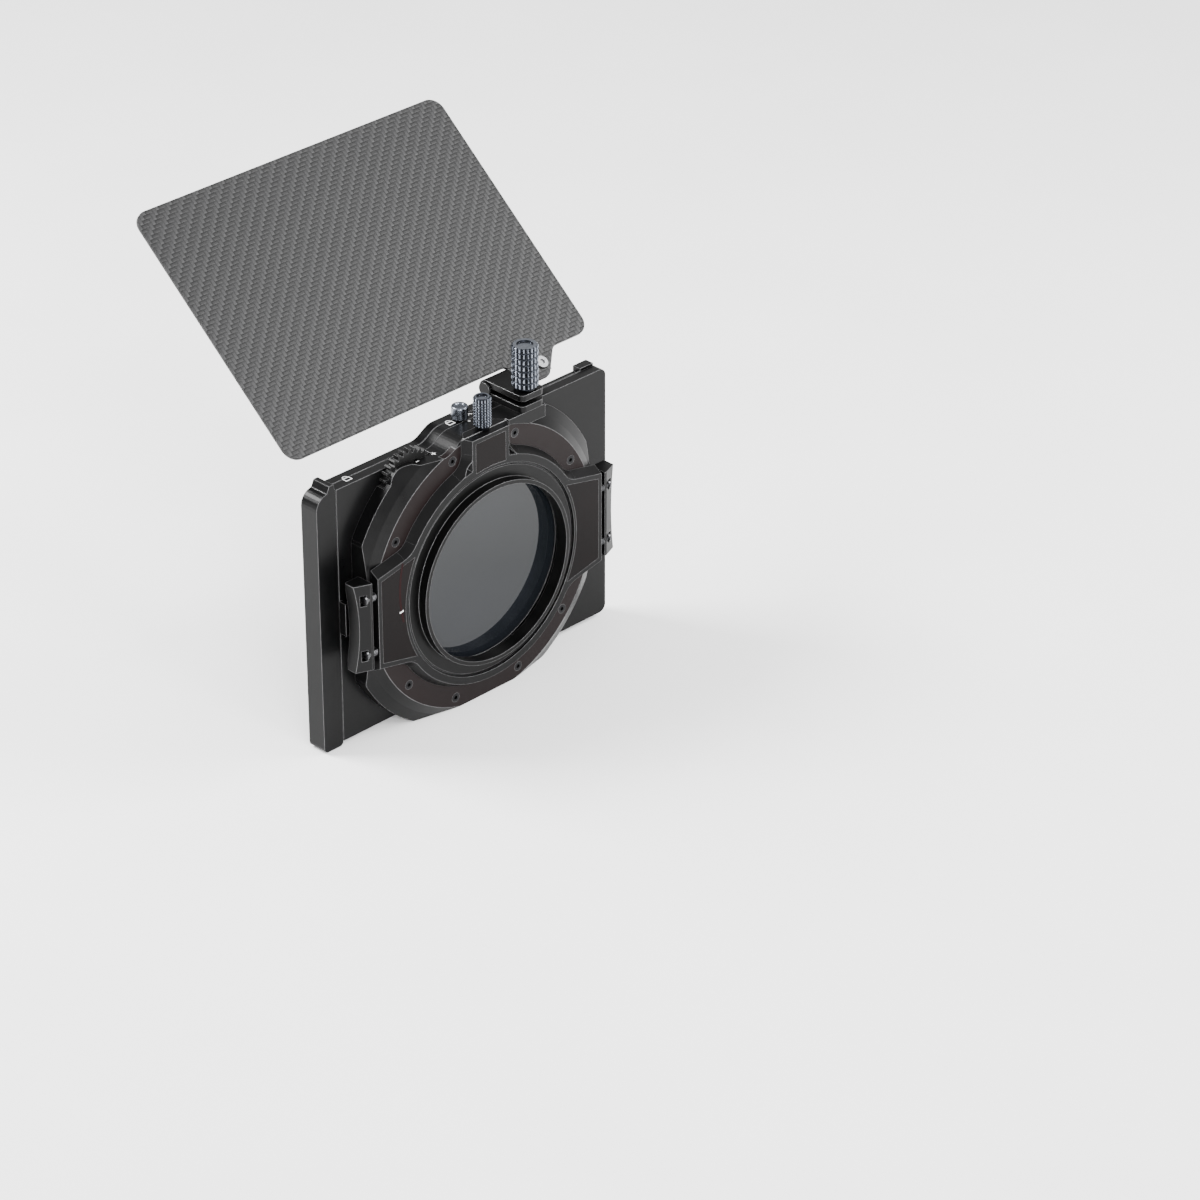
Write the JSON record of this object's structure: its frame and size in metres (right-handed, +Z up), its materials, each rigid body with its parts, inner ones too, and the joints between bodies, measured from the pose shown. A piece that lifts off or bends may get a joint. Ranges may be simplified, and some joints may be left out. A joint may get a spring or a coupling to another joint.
{
  "type": "matte box",
  "caption": "Clip-on matte box: filter housing with a slide-out tray, a geared variable filter with thumb wheel, a lens adapter with spring latches, and a folding carbon-fibre top flag.",
  "frame": {"origin": "on the optical axis, in the plane of the lens adapter's rear face", "axes": "+X to the right seen from behind the camera, +Y along the optical axis towards the scene, +Z up"},
  "size_m": [0.157, 0.116, 0.1968],
  "materials": {
    "body": "matte",
    "cover": "matte",
    "ring": "satin",
    "wheel": "satin",
    "knob": "satin",
    "inlay": "gloss",
    "carbon": "satin",
    "glass": "polished",
    "dark_screw": "satin",
    "steel": "polished"
  },
  "bodies": {
    "box": {"tray_housing_rear": "body", "tray_housing_front": "body", "housing_screws": "steel", "stage_body": "body", "stage_cover": "cover", "cover_screws": "dark_screw", "fixed_glass": "glass", "fixed_glass_retainer": "ring", "wheel_axle": "steel", "adapter_frame": "body", "adapter_ring": "ring", "left_inlay": "inlay", "top_inlay": "inlay", "right_inlay": "inlay", "latch_pins": "steel", "left_latch_springs": "steel", "right_latch_springs": "steel", "flag_bracket": "body"},
    "tray": {"filter_tray": "body", "tray_handle": "body"},
    "filter": {"filter_ring": "ring", "turning_glass": "glass", "turning_glass_retainer": "ring"},
    "wheel": {"thumb_wheel": "wheel"},
    "latch_left": {"left_latch": "body"},
    "latch_right": {"right_latch": "body"},
    "tray_lock": {"tray_lock_knob": "knob"},
    "adapter_lock": {"adapter_lock_knob": "knob"},
    "clamp": {"flag_clamp_knob": "knob"},
    "flag": {"flag_arm": "body", "flag_sheet": "carbon", "flag_screws": "steel"}
  },
  "joints": [
    {"name": "tray_slide", "type": "slide", "parent": "box", "child": "tray", "axis": [-1, 0, 0], "range_m": [0, 0.13]},
    {"name": "filter_turn", "type": "hinge", "parent": "box", "child": "filter", "pos_m": [0, 0.012, 0], "axis": [0, 1, 0], "range_deg": [0, 90]},
    {"name": "wheel_turn", "type": "hinge", "parent": "box", "child": "wheel", "pos_m": [-0.03228, 0.0126, 0.0475], "axis": [0, 1, 0], "range_deg": [-330, 0]},
    {"name": "left_release", "type": "slide", "parent": "box", "child": "latch_left", "axis": [1, 0, 0], "range_m": [0, 0.0012], "stiffness_N_per_m": 400, "springref_m": -0.001, "deforming": ["left_latch_springs"]},
    {"name": "right_release", "type": "slide", "parent": "box", "child": "latch_right", "axis": [-1, 0, 0], "range_m": [0, 0.0012], "stiffness_N_per_m": 400, "springref_m": -0.001, "deforming": ["right_latch_springs"]},
    {"name": "tray_lock_turn", "type": "hinge", "parent": "box", "child": "tray_lock", "pos_m": [0.0005, 0.0177, 0.06], "axis": [0, 0, 1], "range_deg": [0, 90]},
    {"name": "adapter_lock_turn", "type": "hinge", "parent": "box", "child": "adapter_lock", "pos_m": [0, 0.0046, 0.06], "axis": [0, 0, 1], "range_deg": [0, 360]},
    {"name": "clamp_turn", "type": "hinge", "parent": "box", "child": "clamp", "pos_m": [0.0257, 0.0076, 0.06], "axis": [0, 0, 1], "range_deg": [0, 360]},
    {"name": "flag_tilt", "type": "hinge", "parent": "box", "child": "flag", "pos_m": [0.0257, 0.023, 0.0632], "axis": [1, 0, 0], "range_deg": [-124, 45]}
  ],
  "couplings": [
    {"joint": "wheel_turn", "follows": "filter_turn", "ratio": -3.6552}
  ]
}
